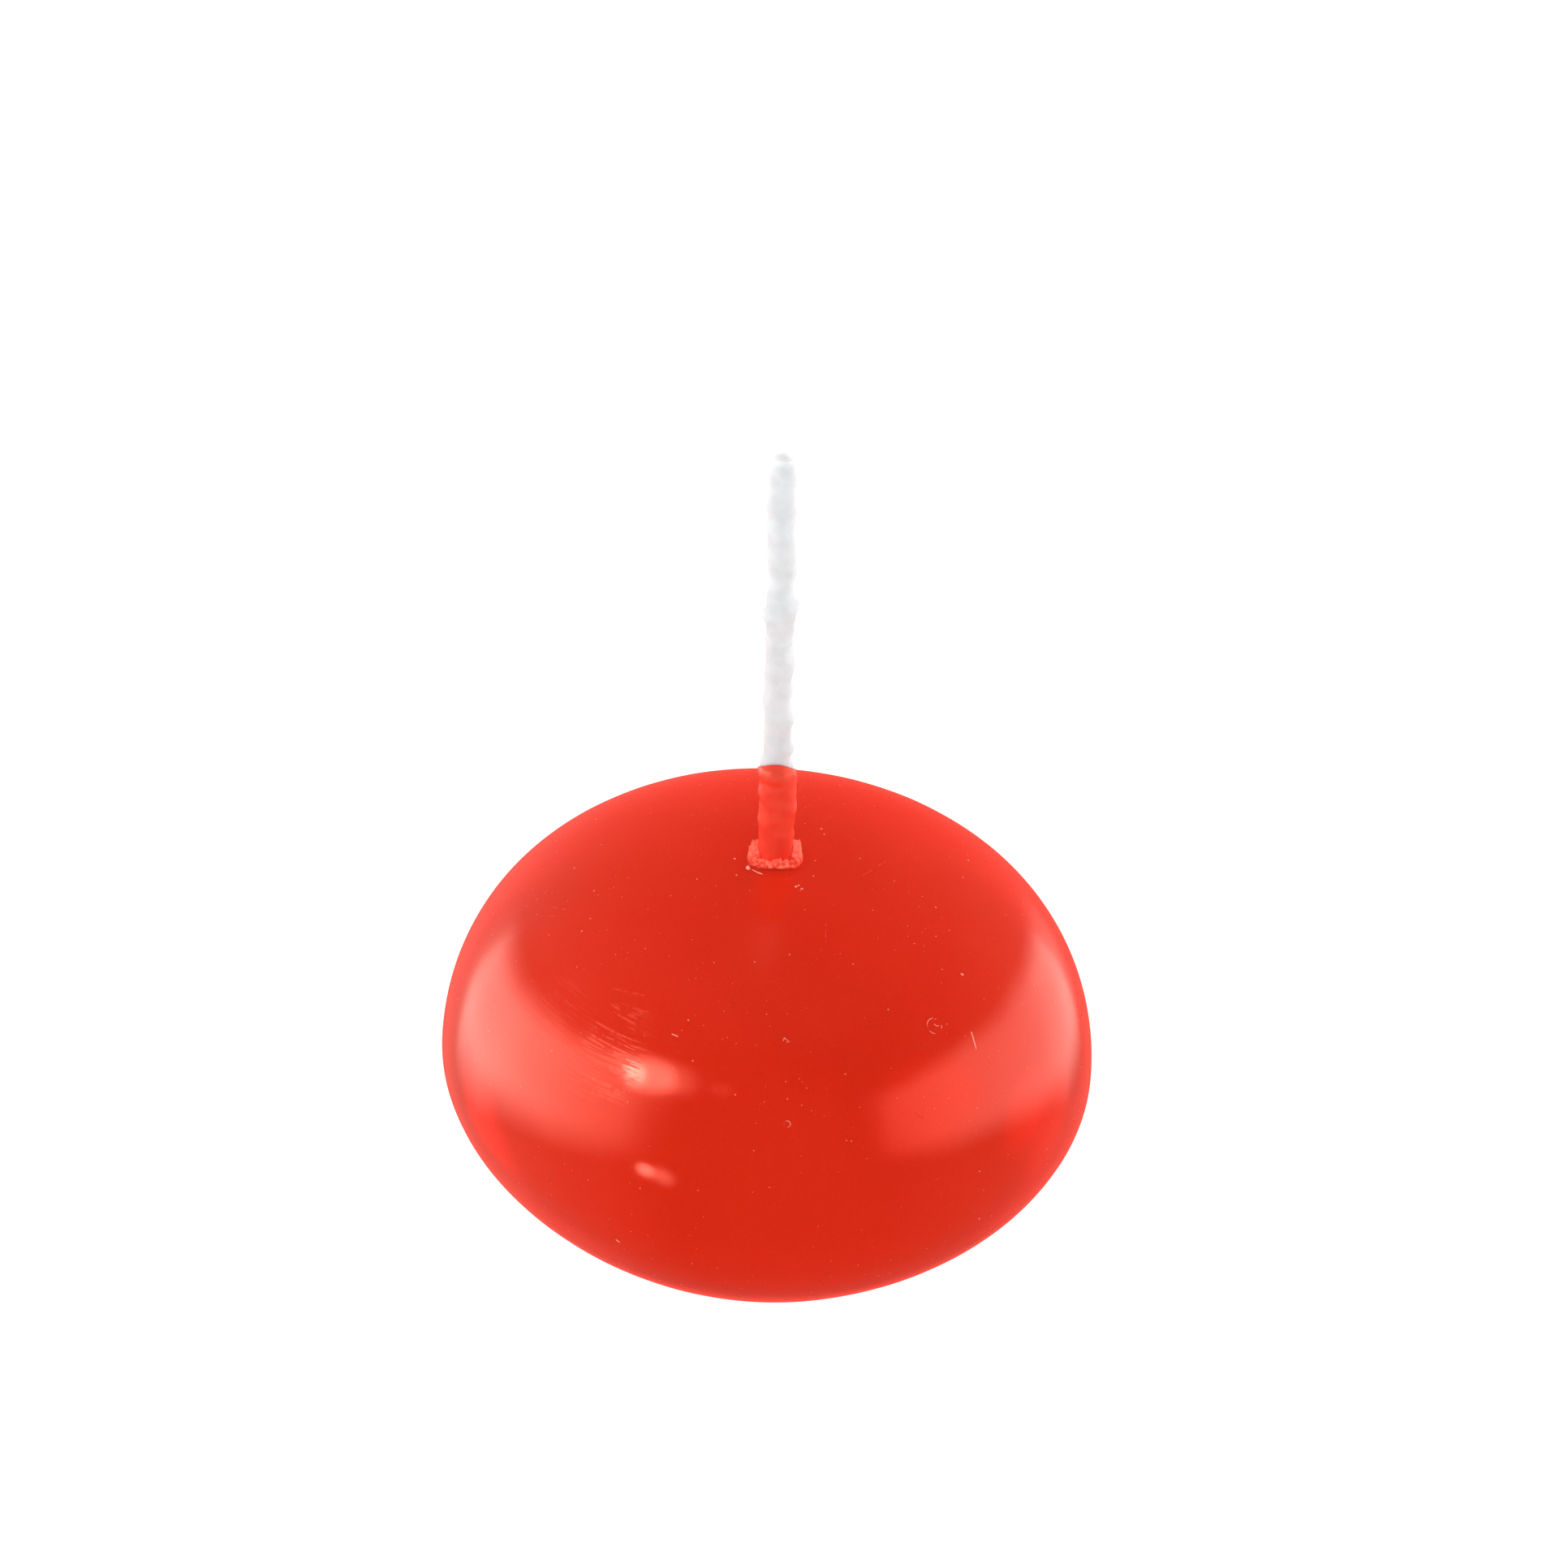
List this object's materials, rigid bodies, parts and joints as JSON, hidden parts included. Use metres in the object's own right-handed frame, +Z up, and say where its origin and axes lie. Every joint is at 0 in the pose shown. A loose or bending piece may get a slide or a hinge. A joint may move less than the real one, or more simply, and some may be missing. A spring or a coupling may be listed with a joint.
{
  "type": "floating candle",
  "caption": "Lens-shaped floating candle of red wax with a tall primed wick, a torn wax rim round the wick's foot and a tin sustainer let into the flat base.",
  "frame": {"origin": "centre of the flat base, on the surface that the candle rests on", "axes": "+Z up along the wax body's axis, +X to the right of the front view, -Y towards the viewer; the wick leans towards -X"},
  "size_m": [0.045, 0.045, 0.063],
  "materials": {
    "red_wax": "smooth dip-polished wax, soft gloss",
    "primed_cotton": "plaited cotton sealed with white wax, satin",
    "thin_red_wax": "thin translucent wax coat, soft gloss",
    "tinplate": "plain tinplate"
  },
  "bodies": {
    "root": {"wax_body": "red_wax", "wick": "primed_cotton", "wick_foot_coat": "thin_red_wax", "wick_sustainer": "tinplate"}
  },
  "joints": []
}
